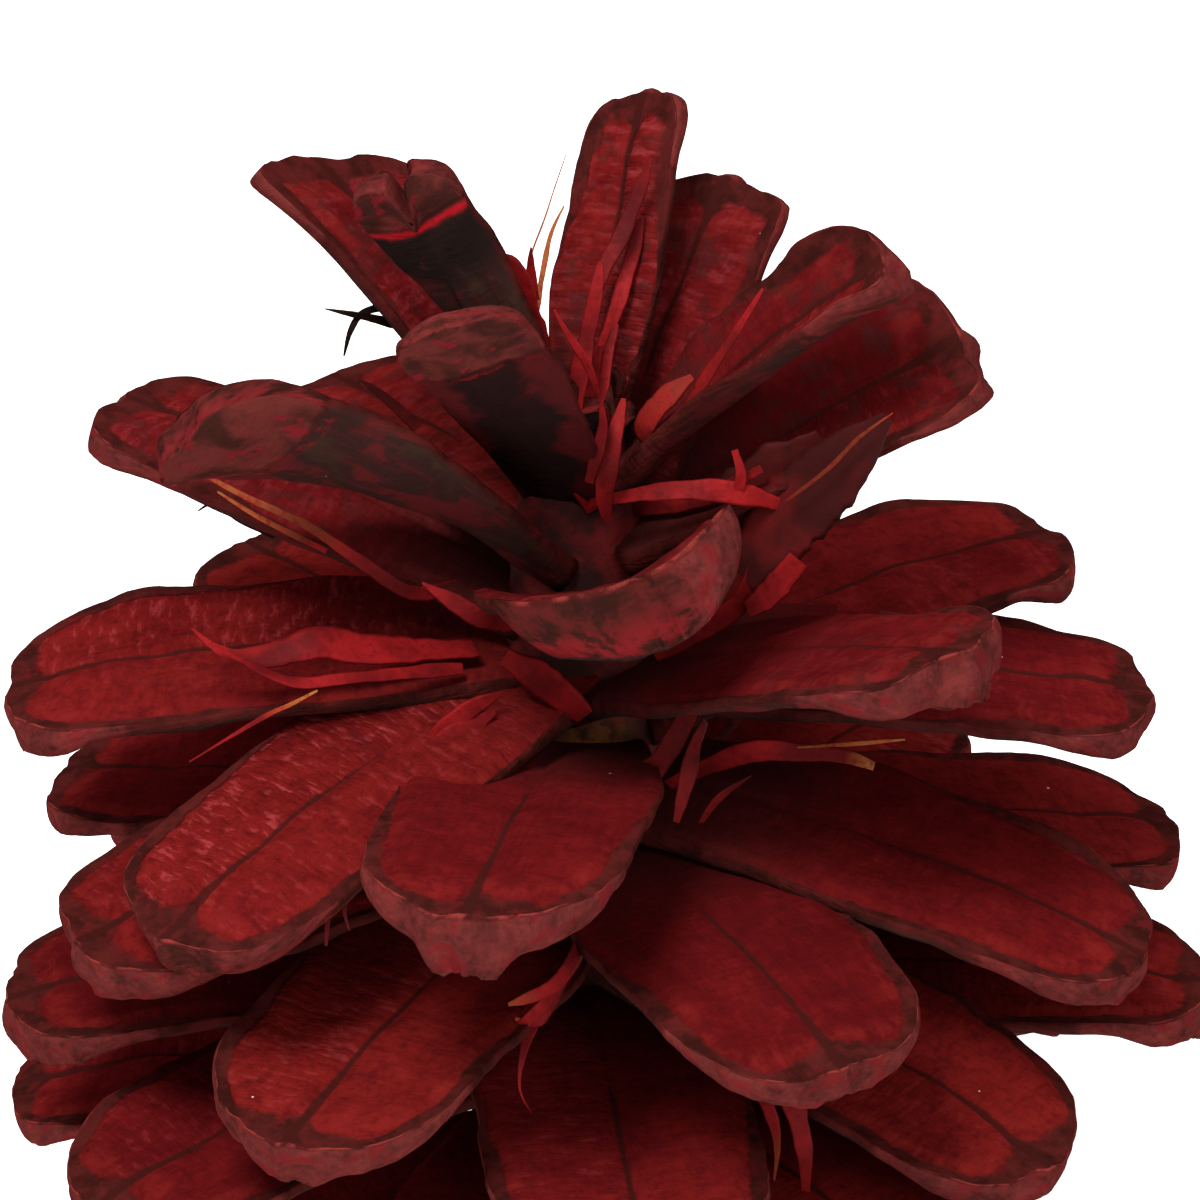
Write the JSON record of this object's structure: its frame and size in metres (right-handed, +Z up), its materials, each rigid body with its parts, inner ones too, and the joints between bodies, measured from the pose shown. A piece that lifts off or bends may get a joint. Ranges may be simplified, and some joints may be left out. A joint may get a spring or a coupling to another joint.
{
  "type": "pine cone",
  "caption": "Open pine cone dyed deep red, with widely spread woody scales, stood on its stalk end.",
  "frame": {"origin": "centre of the round stalk scar on the ground plane, under the middle of the cone's core", "axes": "+Z up along the core, from the stalk scar to the apex; -Y toward the viewer of the picture; +X to the viewer's right"},
  "size_m": [0.056, 0.0533, 0.065],
  "materials": {
    "dyed_wood": "deep red dye over dull woody scales, satin on the inner faces, dusty and lighter on the thick tips"
  },
  "bodies": {
    "root": {"pine_cone": "dyed_wood"}
  },
  "joints": []
}
